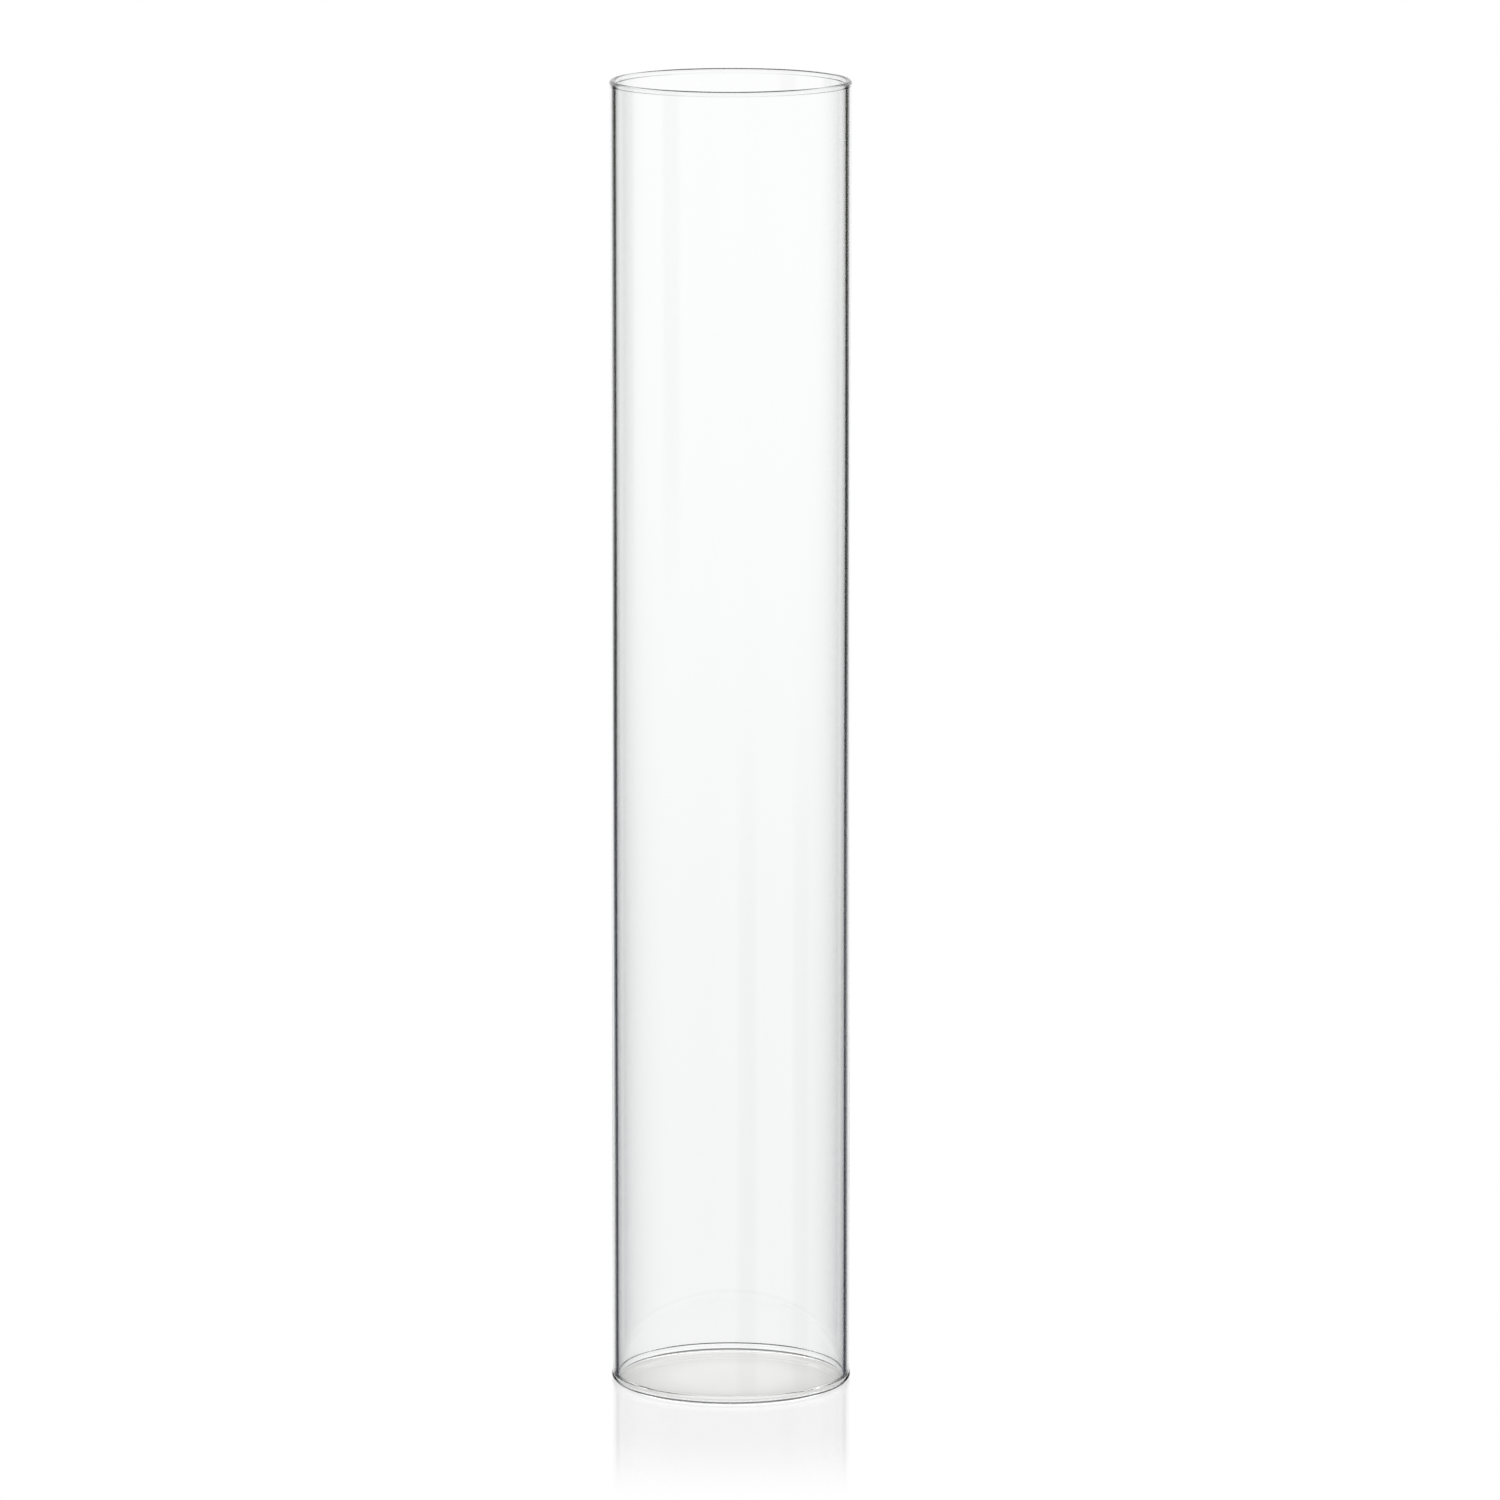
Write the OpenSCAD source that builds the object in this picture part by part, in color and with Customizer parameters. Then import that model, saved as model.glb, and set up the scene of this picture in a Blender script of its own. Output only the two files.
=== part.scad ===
// Tall clear glass cylinder vase of the open-ended kind: one length of drawn glass
// tube whose two cut ends are melted back into rounded rims. It is a single piece of
// glass and nothing on it moves. It stands on the lower rim, the origin is the centre
// of the circle that it stands on, and +Z runs up the tube. Millimetres.

/* [Tube] */
// Outer diameter of the tube wall
tube_outer_d = 101.6; // [60:0.1:200]
// Height from the standing face to the top of the upper rim
tube_h = 558.8; // [150:0.1:900]
// Thickness of the tube wall
wall_t = 2.4; // [1.8:0.1:2.8]

/* [Rims] */
// Thickness of the rounded bead that each melted end draws up into
bead_d = 3.0; // [3:0.05:3.4]
// How far each bead stands out past the outer wall
bead_out = 0.4; // [0.3:0.05:0.5]
// Width of the flat ring that the lower rim stands on
foot_flat_w = 1.0; // [0.4:0.1:1.4]

/* [Hidden] */

$fn = 180;
overlap = 1;
tube_outer_r = tube_outer_d / 2;
bore_r = tube_outer_r - wall_t;
bead_r = bead_d / 2;
bead_ring_r = tube_outer_r + bead_out - bead_r;
// the lower bead's centre is lowered until its flat is foot_flat_w wide
lower_bead_z = sqrt(pow(bead_r, 2) - pow(foot_flat_w / 2, 2));
upper_bead_z = tube_h - bead_r;

// Rounded rim: a ring of round section that caps the end of the wall.
module rim_bead(z) {
    translate([0, 0, z])
        rotate_extrude()
            translate([bead_ring_r, 0])
                circle(r = bead_r);
}

// Straight wall, as a solid rod between the two bead centres.
module wall_rod() {
    translate([0, 0, lower_bead_z])
        cylinder(r = tube_outer_r, h = upper_bead_z - lower_bead_z);
}

// Everything under the standing face, which flattens the lower rim.
module below_the_foot() {
    translate([0, 0, -bead_d])
        cylinder(r = tube_outer_r + bead_d, h = bead_d);
}

// The bore runs clear from end to end, and trims the beads flush with it.
module bore() {
    translate([0, 0, -overlap])
        cylinder(r = bore_r, h = tube_h + 2 * overlap);
}

module glass_cylinder() {
    color([0.90, 0.94, 0.94, 0.35])
        difference() {
            union() {
                wall_rod();
                rim_bead(lower_bead_z);
                rim_bead(upper_bead_z);
            }
            below_the_foot();
            bore();
        }
}

glass_cylinder();
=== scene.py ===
"""Looks for the open-ended glass cylinder: a tall tube of clear glass with melted rims.

Lengths are metres in the CAD part's own frame: +Z up the tube, origin at the middle of
the foot. World azimuths are degrees from +Y, turning towards -X, as the views count them.
"""

import math
from collections import namedtuple

import bpy
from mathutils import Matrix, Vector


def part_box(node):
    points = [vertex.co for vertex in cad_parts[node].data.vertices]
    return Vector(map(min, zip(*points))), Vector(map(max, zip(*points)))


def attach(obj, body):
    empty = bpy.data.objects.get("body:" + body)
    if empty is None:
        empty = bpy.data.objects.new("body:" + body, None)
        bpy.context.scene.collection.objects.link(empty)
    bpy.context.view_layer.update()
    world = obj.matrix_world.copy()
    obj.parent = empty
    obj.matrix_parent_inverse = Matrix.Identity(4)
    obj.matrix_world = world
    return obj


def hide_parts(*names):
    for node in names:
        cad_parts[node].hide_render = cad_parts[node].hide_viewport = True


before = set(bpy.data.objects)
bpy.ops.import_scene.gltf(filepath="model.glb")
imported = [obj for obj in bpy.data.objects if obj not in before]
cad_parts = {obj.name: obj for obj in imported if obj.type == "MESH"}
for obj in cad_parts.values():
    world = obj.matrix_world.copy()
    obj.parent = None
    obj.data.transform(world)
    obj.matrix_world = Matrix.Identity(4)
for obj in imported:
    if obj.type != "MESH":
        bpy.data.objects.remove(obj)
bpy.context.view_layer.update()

# ---------------------------------------------------------------- sizes
NODE = "glass_cylinder"
MM = 0.001

node_low, node_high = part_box(NODE)
HEIGHT = node_high[2] - node_low[2]
OUTER_R = 50.8 * MM
WALL = 2.4 * MM
INNER_R = OUTER_R - WALL

# Each rim ends in a melted bead of round section.
Bead = namedtuple("Bead", "out radius outer_fillet inner_fillet flat")
TOP_BEAD = Bead(
    out=0.24 * MM,                       # how far it stands out of the wall
    radius=1.4 * MM,
    outer_fillet=1.2 * MM,               # hollow where it runs into the outer wall
    inner_fillet=3.5 * MM,               # and the softer one where it runs into the bore
    flat=0,
)
FOOT_BEAD = Bead(
    out=0.43 * MM,
    radius=1.76 * MM,
    outer_fillet=0.3 * MM,
    inner_fillet=2.4 * MM,
    flat=0.7 * MM,                       # the part that lies flat on the table
)

SEGMENTS = 480
BEAD_STEPS = 36
FILLET_STEPS = 8
WALL_RING_GAP = 12 * MM
EDGE_RING_GAP = 0.15 * MM                # keeps the shading of the wall straight up to the bead

WAVE_R = 0.02 * MM                       # unevenness of the drawn wall
WAVE_PHASE_OUTSIDE = 0.7
WAVE_PHASE_INSIDE = 2.3
Wave = namedtuple("Wave", "size times phases twist")
LENGTHWISE = (                           # twist is in radians to the metre of height
    Wave(size=1, times=3, phases=1, twist=9),
    Wave(size=0.6, times=7, phases=-2, twist=14),
)
CROSSWISE = Wave(size=0.5, times=1, phases=1, twist=46)

GLASS_IOR = 1.5

# ---------------------------------------------------------------- camera
TOP_RIM_DIP = math.radians(5.79)         # angle below the horizon at which the top rim is seen
FOOT_DIP = math.radians(13.7)            # and the foot
CAMERA_PITCH = math.radians(9.88)
CAMERA_YAW = math.radians(0.119)
SENSOR = 36.0
LENS = 225.0
NEAR = 0.05
FAR = 100


def make_camera():
    distance = HEIGHT / (math.tan(FOOT_DIP) - math.tan(TOP_RIM_DIP))
    height = HEIGHT + distance * math.tan(TOP_RIM_DIP)
    data = bpy.data.cameras.new("camera")
    data.lens = LENS
    data.sensor_width = SENSOR
    data.clip_start = NEAR
    data.clip_end = FAR
    camera = bpy.data.objects.new("camera", data)
    camera.location = (0, -distance, height)
    camera.rotation_euler = (math.pi / 2 - CAMERA_PITCH, 0, -CAMERA_YAW)
    bpy.context.scene.collection.objects.link(camera)
    bpy.context.scene.camera = camera


# ---------------------------------------------------------------- the glass tube
def arc(centre, radius, start, stop, steps):
    """Points of an arc, with angles in radians."""
    x, y = centre
    turns = [start + (stop - start) * k / steps for k in range(steps + 1)]
    return [(x + radius * math.cos(t), y + radius * math.sin(t)) for t in turns]


def ring_radius(bead):
    """Radius of the circle that runs through the middle of the bead."""
    return OUTER_R + bead.out - bead.radius


def side_outline(bead, wall_r, side, fillet):
    """One side of the upper rim about the bead's centre height, from the wall to the bead.

    side is +1 for the outer wall and -1 for the bore. A hollow arc runs from the wall on to
    the bead, and both join without a corner. Gives the points and the bead's first angle.
    """
    reach = side * (wall_r - ring_radius(bead)) + fillet
    drop = math.sqrt((bead.radius + fillet) ** 2 - reach ** 2)
    lean = math.atan2(drop, reach)
    hollow = arc((reach, -drop), fillet, math.pi, math.pi - lean, FILLET_STEPS)
    points = [(-fillet + reach, -drop - EDGE_RING_GAP)] + hollow
    return [(ring_radius(bead) + side * r, z) for r, z in points], -lean


def rim_outline(bead, end, up):
    """Points (radius, z) round one end, from the outer wall over the end to the bore.

    end is the height of the end, and up is +1 for the top and -1 for the foot.
    """
    middle = (ring_radius(bead), 0)
    outer, outer_lean = side_outline(bead, OUTER_R, 1, bead.outer_fillet)
    inner, inner_lean = side_outline(bead, INNER_R, -1, bead.inner_fillet)
    tip = math.acos(bead.flat / 2 / bead.radius)
    half = BEAD_STEPS // 2
    outer_half = arc(middle, bead.radius, outer_lean, tip, half)
    inner_half = arc(middle, bead.radius, math.pi - tip, math.pi - inner_lean, half)
    if not bead.flat:
        inner_half = inner_half[1:]      # the two halves meet in one point
    rounded = outer_half + inner_half
    points = outer + rounded[1:-1] + inner[::-1]
    centre = bead.radius * math.sin(tip)
    return [(r, end + up * (z - centre)) for r, z in points]


def wall_heights():
    low = max(z for r, z in rim_outline(FOOT_BEAD, 0, -1))
    high = min(z for r, z in rim_outline(TOP_BEAD, HEIGHT, 1))
    count = round((high - low) / WALL_RING_GAP)
    return [low + (high - low) * k / count for k in range(1, count)]


def tube_outline():
    """The closed outline that is turned about the axis, starting up the outer wall."""
    heights = wall_heights()
    outline = [(OUTER_R, z) for z in heights]
    outline += rim_outline(TOP_BEAD, HEIGHT, 1)
    outline += [(INNER_R, z) for z in reversed(heights)]
    outline += rim_outline(FOOT_BEAD, 0, -1)[::-1]
    return outline


def wave(angle, z, radius):
    """Slight unevenness of drawn glass. It dies away towards the two ends."""
    ends = math.sin(math.pi * min(max(z / HEIGHT, 0), 1))
    outside = radius > (OUTER_R + INNER_R) / 2
    phase = WAVE_PHASE_OUTSIDE if outside else WAVE_PHASE_INSIDE
    lengthwise = sum(
        w.size * math.sin(angle * w.times + phase * w.phases + z * w.twist)
        for w in LENGTHWISE
    )
    sway = math.sin(angle * CROSSWISE.times + phase * CROSSWISE.phases)
    crosswise = CROSSWISE.size * math.sin(z * CROSSWISE.twist + phase + sway)
    return WAVE_R * ends * (lengthwise + crosswise) / 2


def make_tube():
    outline = tube_outline()
    verts, faces = [], []
    for radius, z in outline:
        for k in range(SEGMENTS):
            angle = 2 * math.pi * k / SEGMENTS
            r = radius + wave(angle, z, radius)
            verts.append((r * math.cos(angle), r * math.sin(angle), z))
    count = len(outline)
    for i in range(count):
        low, high = i * SEGMENTS, (i + 1) % count * SEGMENTS
        for k in range(SEGMENTS):
            n = (k + 1) % SEGMENTS
            faces.append((low + k, low + n, high + n, high + k))
    mesh = bpy.data.meshes.new("glass_tube")
    mesh.from_pydata(verts, [], faces)
    mesh.update()
    mesh.shade_smooth()
    tube = bpy.data.objects.new("glass_tube", mesh)
    bpy.context.scene.collection.objects.link(tube)
    return tube


# ---------------------------------------------------------------- node helpers
def new_tree(owner):
    owner.use_nodes = True
    tree = owner.node_tree
    tree.nodes.clear()
    return tree


def feed(tree, socket, value):
    """Links value into socket if it is a socket, or sets it if it is a number or colour."""
    if isinstance(value, bpy.types.NodeSocket):
        tree.links.new(value, socket)
    else:
        socket.default_value = value


def math_node(tree, operation, *values):
    node = tree.nodes.new("ShaderNodeMath")
    node.operation = operation
    for socket, value in zip(node.inputs, values):
        feed(tree, socket, value)
    return node.outputs[0]


def multiply(tree, *values):
    result = values[0]
    for value in values[1:]:
        result = math_node(tree, "MULTIPLY", result, value)
    return result


def opposite(tree, value):
    return math_node(tree, "SUBTRACT", 1, value)


def ramp(tree, value, start, stop, low, high):
    """Smooth step from low at start to high at stop."""
    node = tree.nodes.new("ShaderNodeMapRange")
    node.interpolation_type = "SMOOTHSTEP"
    node.inputs["From Min"].default_value = start
    node.inputs["From Max"].default_value = stop
    node.inputs["To Min"].default_value = low
    node.inputs["To Max"].default_value = high
    feed(tree, node.inputs["Value"], value)
    return node.outputs[0]


# ---------------------------------------------------------------- clear glass
POLISH = (0.0, 0.03)                     # roughness, from the clearest places to the haziest
POLISH_NOISE = (0.35, 0.7)               # the noise values at which it starts and ends
POLISH_SCALE = (40, 40, 12)
POLISH_DETAIL = 4
DRAW_LINE_DEPTH = 0.004 * MM
DRAW_LINE_SCALE = (120, 120, 5)          # long lines that run up the tube
DRAW_LINE_DETAIL = 2
GLASS_TINT = (0.72, 0.88, 0.90, 1)
GLASS_DENSITY = 6.0


def noise(tree, scale, detail):
    """Noise with so many features to the metre along each axis."""
    coordinates = tree.nodes.new("ShaderNodeTexCoord")
    mapping = tree.nodes.new("ShaderNodeMapping")
    mapping.inputs["Scale"].default_value = scale
    tree.links.new(coordinates.outputs["Object"], mapping.inputs["Vector"])
    node = tree.nodes.new("ShaderNodeTexNoise")
    node.inputs["Scale"].default_value = 1
    node.inputs["Detail"].default_value = detail
    tree.links.new(mapping.outputs[0], node.inputs["Vector"])
    return node.outputs[0]


def glass_material():
    material = bpy.data.materials.new("clear_glass")
    tree = new_tree(material)
    output = tree.nodes.new("ShaderNodeOutputMaterial")
    glass = tree.nodes.new("ShaderNodeBsdfPrincipled")
    glass.inputs["Base Color"].default_value = (1, 1, 1, 1)
    glass.inputs["Transmission Weight"].default_value = 1
    glass.inputs["IOR"].default_value = GLASS_IOR
    tree.links.new(glass.outputs["BSDF"], output.inputs["Surface"])

    haze = ramp(tree, noise(tree, POLISH_SCALE, POLISH_DETAIL), *POLISH_NOISE, *POLISH)
    tree.links.new(haze, glass.inputs["Roughness"])
    bump = tree.nodes.new("ShaderNodeBump")
    bump.inputs["Strength"].default_value = 1
    bump.inputs["Distance"].default_value = DRAW_LINE_DEPTH
    tree.links.new(noise(tree, DRAW_LINE_SCALE, DRAW_LINE_DETAIL), bump.inputs["Height"])
    tree.links.new(bump.outputs[0], glass.inputs["Normal"])

    absorption = tree.nodes.new("ShaderNodeVolumeAbsorption")
    absorption.inputs["Color"].default_value = GLASS_TINT
    absorption.inputs["Density"].default_value = GLASS_DENSITY
    tree.links.new(absorption.outputs[0], output.inputs["Volume"])
    return material


# ---------------------------------------------------------------- stage
FLOOR_R = 12.0
FLOOR_SIDES = 64
FLOOR_GAP = 0.05 * MM
FLOOR_COLOUR = (1, 1, 1)
FLOOR_IOR = 1.5
SHINE = (0.10, 0.22)                     # the mirror image fades out between these radii

# The floor inside the foot is painted greyer: painted shade of the glass, darker towards the
# front and towards the glass. Each pair of distances has its pair of lights.
SHADE_SIDES = 128
SHADE_COLOUR = (1, 0.995, 0.97)
SHADE_DEPTH = (-0.040, 0.025, 0.885, 0.955)       # from the front to the back
SHADE_EDGE = (0.018, 0.048, 1.0, 0.76)            # from the middle out to the glass
# The ring is painted light on the floor, standing for the light that the foot's bead gathers.
FOCUS_LIGHT = 0.22
FOCUS_START = (0.0418, 0.0434, 0, FOCUS_LIGHT)    # a ring where the foot's bead gathers light
FOCUS_STOP = (0.0454, 0.0466, 1, 0)
FOCUS_SIDE = (0.014 ** 2, 0.036 ** 2, 1, 0)       # it dies away to the sides


def floor_material(name, colour, painted_shade_and_light=False):
    """A bright sheet with a polished face and a faint mirror image: evenly pale, or, for the
    floor inside the foot, with painted shade and a ring of painted light.
    """
    material = bpy.data.materials.new(name)
    tree = new_tree(material)
    output = tree.nodes.new("ShaderNodeOutputMaterial")
    coordinates = tree.nodes.new("ShaderNodeTexCoord")
    axes = tree.nodes.new("ShaderNodeSeparateXYZ")
    tree.links.new(coordinates.outputs["Object"], axes.inputs[0])
    x, y, _ = axes.outputs
    x_squared = multiply(tree, x, x)
    squares = math_node(tree, "ADD", x_squared, multiply(tree, y, y))
    radius = math_node(tree, "SQRT", squares)
    pale = tree.nodes.new("ShaderNodeEmission")
    pale.inputs["Color"].default_value = (*colour, 1)
    if painted_shade_and_light:
        # painted shade: the emission is darker towards the front and towards the glass
        depth = ramp(tree, y, *SHADE_DEPTH)
        edge = ramp(tree, radius, *SHADE_EDGE)
        # painted light: a ring just inside the glass that dies away to the sides
        start = ramp(tree, radius, *FOCUS_START)
        stop = ramp(tree, radius, *FOCUS_STOP)
        ring = multiply(tree, start, stop, ramp(tree, x_squared, *FOCUS_SIDE))
        light = math_node(tree, "ADD", multiply(tree, depth, edge), ring)
        tree.links.new(light, pale.inputs["Strength"])
    gloss = tree.nodes.new("ShaderNodeBsdfGlossy")
    gloss.inputs["Color"].default_value = (1, 1, 1, 1)
    gloss.inputs["Roughness"].default_value = 0
    fresnel = tree.nodes.new("ShaderNodeFresnel")
    fresnel.inputs["IOR"].default_value = FLOOR_IOR
    mix = tree.nodes.new("ShaderNodeMixShader")
    shine = multiply(tree, fresnel.outputs[0], ramp(tree, radius, *SHINE, 1, 0))
    tree.links.new(shine, mix.inputs["Fac"])
    tree.links.new(pale.outputs[0], mix.inputs[1])
    tree.links.new(gloss.outputs[0], mix.inputs[2])
    tree.links.new(mix.outputs[0], output.inputs["Surface"])
    return material


def make_disc(name, radius, sides, z, material):
    turns = [2 * math.pi * k / sides for k in range(sides)]
    verts = [(radius * math.cos(t), radius * math.sin(t), z) for t in turns]
    mesh = bpy.data.meshes.new(name)
    mesh.from_pydata(verts, [], [tuple(range(sides))])
    mesh.materials.append(material)
    disc = bpy.data.objects.new(name, mesh)
    bpy.context.scene.collection.objects.link(disc)
    return disc


def make_floor():
    white = floor_material("floor_white", FLOOR_COLOUR)
    floor = make_disc("floor", FLOOR_R, FLOOR_SIDES, -FLOOR_GAP, white)
    floor.visible_transmission = False
    floor.visible_glossy = False
    # the floor inside the foot, with painted shade and a ring of painted light
    shade = floor_material("floor_inside_painted_light_and_shade", SHADE_COLOUR, painted_shade_and_light=True)
    make_disc("floor_inside_painted_light_and_shade", INNER_R, SHADE_SIDES, -FLOOR_GAP / 2, shade)


# World: what the glass mirrors and refracts. The surroundings are white, with a pair of dark
# flags beside each of four lines of sight, which draws the edges of the glass as dark lines
# there. A pair is only as tall as its line of sight needs. From elsewhere the edges are paler.
FLAGS = (
    # azimuth of the line of sight, bottom and top of its flags, in degrees
    (0, -17, 90),
    (45, -60, -17),
    (90, -8.5, 90),
    (225, -24, -10.2),
)
LEFT_FLAG = (-29, -60, -16)              # carries one flag of the first pair on downwards
FLAG_MIDDLE = math.radians(29)           # from the line of sight to the middle of a flag
FLAG_DARK = math.radians(5)              # half-width of its dark part
FLAG_EDGE = math.radians(13)             # half-width out to the full white
FLAG_SOFT = math.radians(1)              # softness of its top and bottom

# Light that the glass refracts is white between foot and top, and white again far below. The
# dark band under the foot draws the rims, but views from that steep see it through the glass.
WHITE_TOP = (math.radians(10), math.radians(19))
WHITE_TOP_REST = 0.15
WHITE_FOOT = (math.radians(-37), math.radians(-34))
WHITE_UNDER = (math.radians(-72), math.radians(-65))

# Light that the glass mirrors comes from farther round. It is dim beside the line of sight
# and white towards the viewer, about the line of sight that looks down that steeply.
ROOM_TURNS = (
    # azimuth of the line of sight, lowest rise, end of the dim part in degrees, and its light
    (0, -15.2, 34, 0.10),
    (225, -20.5, 62, 0.40),
    (45, -90, 62, 0.40),
)
ROOM_CEILING = 90
ROOM_SOFT = math.radians(1.2)
ROOM_NEAR = (FLAG_MIDDLE, FLAG_MIDDLE + 0.01)      # white again inside the flags
ROOM_WHITE = math.radians(118)
ROOM_HIGH = (math.radians(28), math.radians(90))   # higher up the dim part is narrower
ROOM_HIGH_LIGHT = 0.35
ROOM_FOOT = (math.radians(-39), math.radians(-33))
ROOM_TOP = (math.radians(4), math.radians(10))
ROOM_TOP_LIGHT = 0.62
SOFTBOX = (math.radians(35), math.radians(46))
SOFTBOX_LIGHT = 4.5
SOFTBOX_TOP = (math.radians(45), math.radians(47))

LIGHT_HIGH = (0.985, 0.985, 0.985)
LIGHT_LOW = (0.92, 0.92, 0.92)
LIGHT_TURN = (math.radians(-13.5), math.radians(-6))
UPWARD = (math.radians(0), math.radians(3))
DARK_HIGH = (0.030, 0.029, 0.024)
DARK_LOW = (0.040, 0.042, 0.058)

# How many faces of the glass a ray has crossed.
OUTSIDE = 0
ONE_WALL = 2
BOTH_WALLS = 4


def mix_colour(tree, factor, first, second):
    node = tree.nodes.new("ShaderNodeMix")
    node.data_type = "RGBA"
    node.clamp_factor = False
    feed(tree, node.inputs[0], factor)
    feed(tree, node.inputs[6], (*first, 1) if isinstance(first, tuple) else first)
    feed(tree, node.inputs[7], (*second, 1) if isinstance(second, tuple) else second)
    return node.outputs[2]


def blend(tree, factor, first, second):
    """From the number first at factor 0 to second at factor 1."""
    change = math_node(tree, "SUBTRACT", second, first)
    return math_node(tree, "ADD", first, multiply(tree, factor, change))


def band(tree, rise, low, high, soft):
    """1 between two heights above the horizon, in degrees, and 0 outside."""
    low, high = math.radians(low), math.radians(high)
    above = ramp(tree, rise, low - soft, low + soft, 0, 1)
    below = ramp(tree, rise, high - soft, high + soft, 1, 0)
    return multiply(tree, above, below)


def off_azimuth(tree, x, y, azimuth):
    """How far the direction lies from azimuth, to either side, in radians."""
    turn = math.radians(azimuth)
    c, s = math.cos(turn), math.sin(turn)
    ahead = math_node(tree, "SUBTRACT", multiply(tree, y, c), multiply(tree, x, s))
    aside = math_node(tree, "ADD", multiply(tree, x, c), multiply(tree, y, s))
    return math_node(tree, "ABSOLUTE", math_node(tree, "ARCTAN2", aside, ahead))


def flag_pair(tree, off):
    """1 on the two flags that stand beside a line of sight, and 0 off them."""
    away = math_node(tree, "ABSOLUTE", math_node(tree, "SUBTRACT", off, FLAG_MIDDLE))
    return ramp(tree, away, FLAG_DARK, FLAG_EDGE, 1, 0)


def flags_at(tree, x, y, rise, flags):
    """1 on the flags of these lines of sight, and 0 off them."""
    covered = 0.0
    for azimuth, low, high in flags:
        pair = flag_pair(tree, off_azimuth(tree, x, y, azimuth))
        flag = multiply(tree, pair, band(tree, rise, low, high, FLAG_SOFT))
        covered = math_node(tree, "MAXIMUM", covered, flag)
    return covered


def above_dark(tree, rise, foot):
    """White above foot and far below it. The dark band between them draws the rims."""
    above = ramp(tree, rise, *foot, 0, 1)
    return math_node(tree, "ADD", above, ramp(tree, rise, *WHITE_UNDER, 1, 0))


def refracted_light(tree, x, y, rise, flags, bent):
    """White seen through the glass, from 0 to 1. The flags show only where bent is 1."""
    azimuth, low, high = LEFT_FLAG
    off = off_azimuth(tree, x, y, azimuth)
    left = ramp(tree, off, FLAG_DARK, FLAG_EDGE, 1, 0)
    left = multiply(tree, left, band(tree, rise, low, high, FLAG_SOFT))
    flags = multiply(tree, math_node(tree, "MAXIMUM", left, flags), bent)
    top = ramp(tree, rise, *WHITE_TOP, 1, WHITE_TOP_REST)
    return multiply(tree, opposite(tree, flags), above_dark(tree, rise, WHITE_FOOT), top)


def mirrored_light(tree, x, y, rise, clear):
    """White mirrored by the glass, from 0 to 1, and more in the softbox."""
    light = 0.0
    ceiling = ROOM_CEILING
    high = ramp(tree, rise, *LIGHT_TURN, 0, 1)
    for azimuth, floor, dim_end, dim_light in ROOM_TURNS:
        off = off_azimuth(tree, x, y, azimuth)
        low_room = ramp(tree, off, math.radians(dim_end), ROOM_WHITE, dim_light, 1)
        high_room = ramp(tree, off, *ROOM_HIGH, ROOM_HIGH_LIGHT, 1)
        room = blend(tree, high, low_room, high_room)
        near = ramp(tree, off, *ROOM_NEAR, 1, 0)
        room = math_node(tree, "MAXIMUM", room, near)
        around = multiply(tree, room, band(tree, rise, floor, ceiling, ROOM_SOFT))
        light = math_node(tree, "ADD", light, around)
        ceiling = floor
    light = multiply(tree, light, above_dark(tree, rise, ROOM_FOOT))
    top = ramp(tree, rise, *ROOM_TOP, 1, ROOM_TOP_LIGHT)
    light = multiply(tree, light, top, clear)
    softbox = ramp(tree, rise, *SOFTBOX, 0, SOFTBOX_LIGHT)
    light = math_node(tree, "ADD", light, softbox)
    return multiply(tree, light, ramp(tree, rise, *SOFTBOX_TOP, 1, 0))


def equals(tree, value, number):
    """1 where a whole value is that number, and 0 elsewhere."""
    return math_node(tree, "COMPARE", value, number, 0.5)


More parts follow.
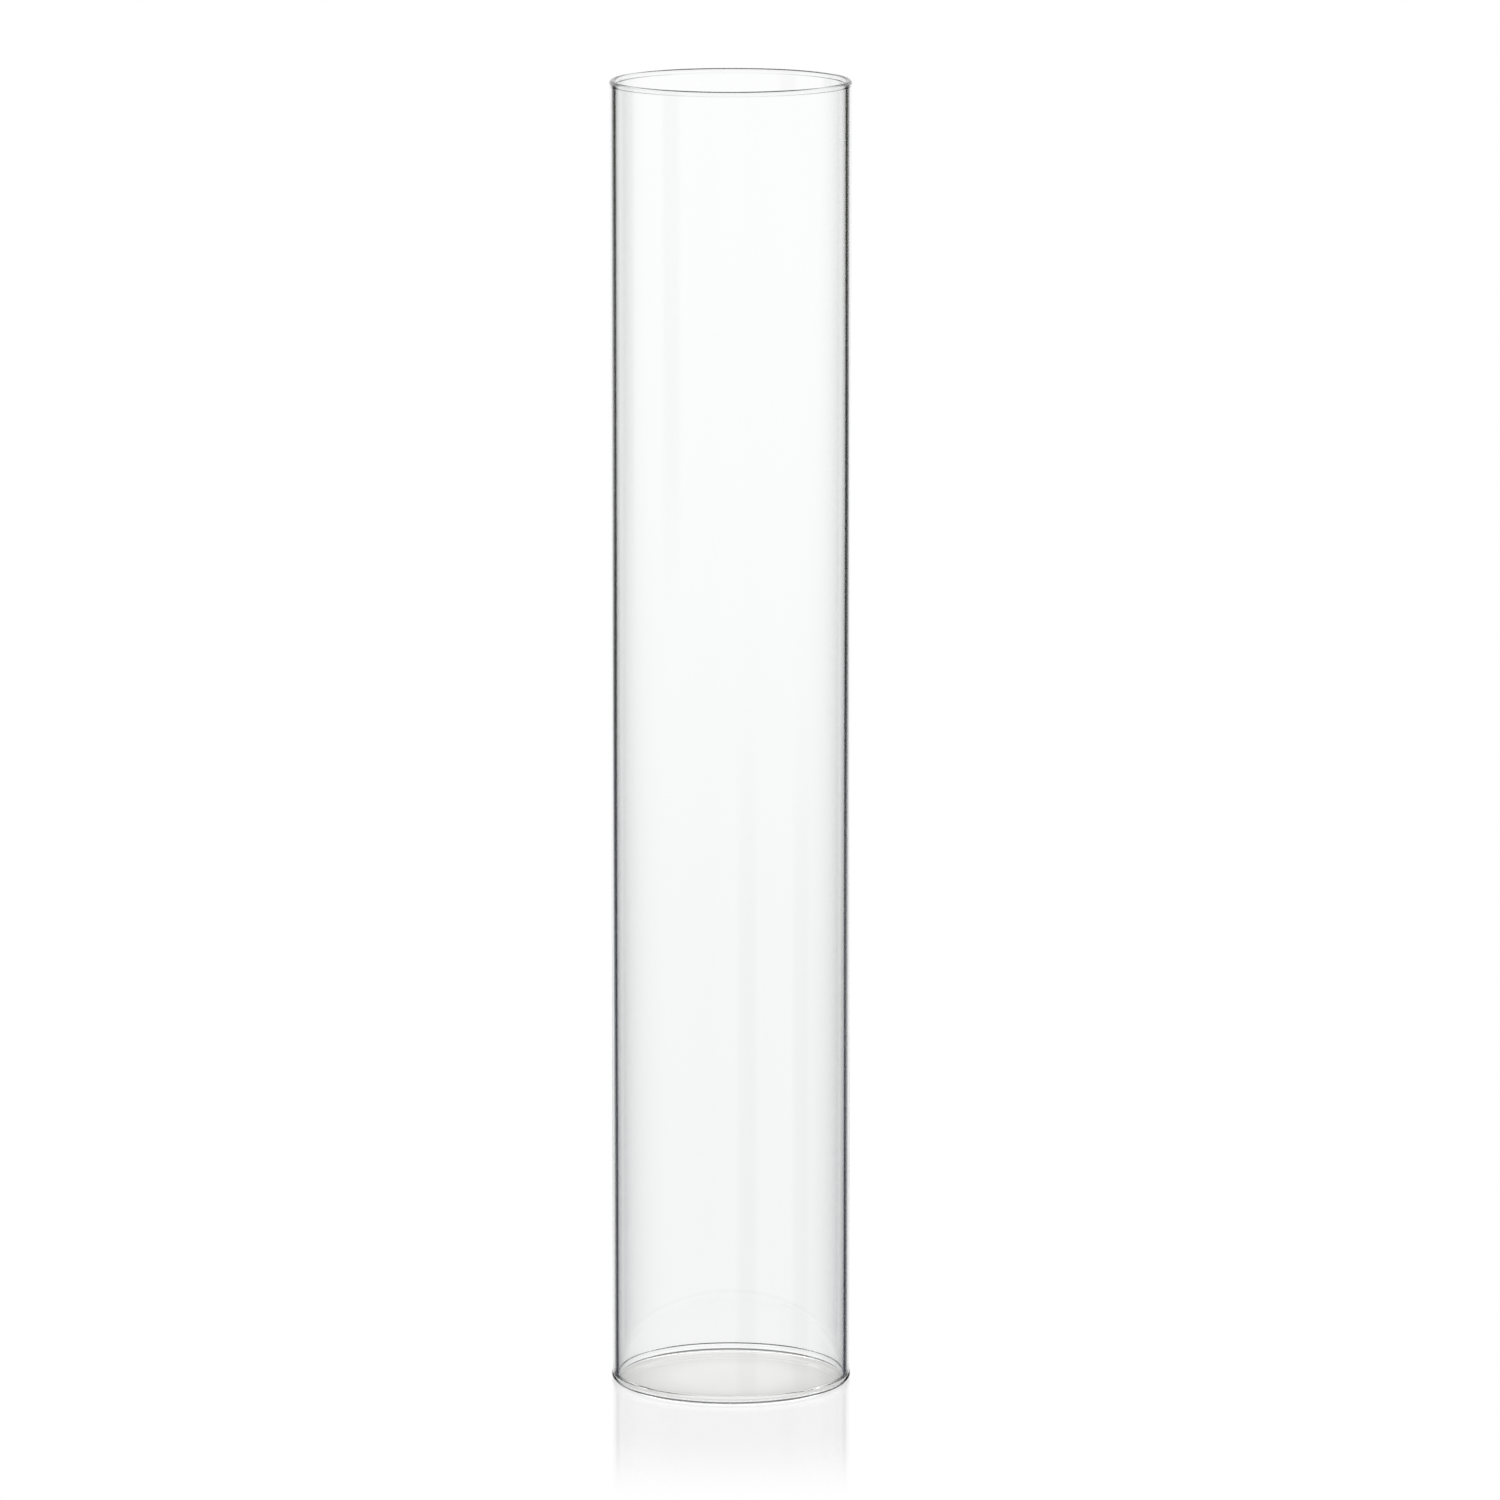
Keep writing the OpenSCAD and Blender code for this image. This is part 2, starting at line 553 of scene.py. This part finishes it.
def studio_colour(tree, x, y, rise, path):
    """What a ray that has met the glass sees in this direction."""
    faces = path.outputs["Transmission Depth"]
    mirrored = math_node(tree, "GREATER_THAN", path.outputs["Glossy Depth"], 0.5)

    # the flags are mirrored only where they draw the edges, not as stripes down the middle
    front_flags = flags_at(tree, x, y, rise, FLAGS[:1])
    flags = math_node(tree, "MAXIMUM", front_flags, flags_at(tree, x, y, rise, FLAGS[1:]))
    wall = multiply(tree, equals(tree, faces, ONE_WALL), flags)
    face = multiply(tree, equals(tree, faces, OUTSIDE), front_flags)
    under = multiply(tree, ramp(tree, rise, *UPWARD, 0, 1), flags)
    hidden = math_node(tree, "MAXIMUM", math_node(tree, "MAXIMUM", wall, face), under)

    # light that has crossed both walls meets no flag, because one that stood straight behind
    # the glass would darken the whole of it
    bent = opposite(tree, equals(tree, faces, BOTH_WALLS))
    straight = refracted_light(tree, x, y, rise, flags, bent)
    straight = multiply(tree, straight, opposite(tree, mirrored))
    around = multiply(tree, mirrored_light(tree, x, y, rise, opposite(tree, hidden)), mirrored)
    white = math_node(tree, "ADD", straight, around)
    height = ramp(tree, rise, *LIGHT_TURN, 0, 1)
    light = mix_colour(tree, height, LIGHT_LOW, LIGHT_HIGH)
    dark = mix_colour(tree, height, DARK_LOW, DARK_HIGH)
    return mix_colour(tree, white, dark, light)


def make_world():
    world = bpy.data.worlds.new("studio")
    bpy.context.scene.world = world
    tree = new_tree(world)
    output = tree.nodes.new("ShaderNodeOutputWorld")
    coordinates = tree.nodes.new("ShaderNodeTexCoord")
    axes = tree.nodes.new("ShaderNodeSeparateXYZ")
    tree.links.new(coordinates.outputs["Generated"], axes.inputs[0])
    x, y, z = axes.outputs
    rise = math_node(tree, "ARCSINE", z)
    path = tree.nodes.new("ShaderNodeLightPath")

    studio = tree.nodes.new("ShaderNodeBackground")
    tree.links.new(studio_colour(tree, x, y, rise, path), studio.inputs["Color"])
    backdrop = tree.nodes.new("ShaderNodeBackground")
    backdrop.inputs["Color"].default_value = (1, 1, 1, 1)
    # the bare floor mirrors the backdrop, so that it stays evenly white
    refracted = math_node(tree, "GREATER_THAN", path.outputs["Transmission Depth"], 0.5)
    upward = ramp(tree, rise, *UPWARD, 0, 1)
    off_floor = multiply(tree, opposite(tree, refracted), upward)
    plain = math_node(tree, "MAXIMUM", path.outputs["Is Camera Ray"], off_floor)
    mix = tree.nodes.new("ShaderNodeMixShader")
    tree.links.new(plain, mix.inputs["Fac"])
    tree.links.new(studio.outputs[0], mix.inputs[1])
    tree.links.new(backdrop.outputs[0], mix.inputs[2])
    tree.links.new(mix.outputs[0], output.inputs["Surface"])


MAX_BOUNCES = 24
GLOSSY_BOUNCES = 12


def set_colour_and_bounces():
    scene = bpy.context.scene
    scene.view_settings.view_transform = "Standard"
    scene.cycles.max_bounces = MAX_BOUNCES
    scene.cycles.transmission_bounces = MAX_BOUNCES
    scene.cycles.glossy_bounces = GLOSSY_BOUNCES


make_camera()
tube = make_tube()
tube.data.materials.append(glass_material())
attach(tube, "root")
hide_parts(NODE)
make_floor()
make_world()
set_colour_and_bounces()
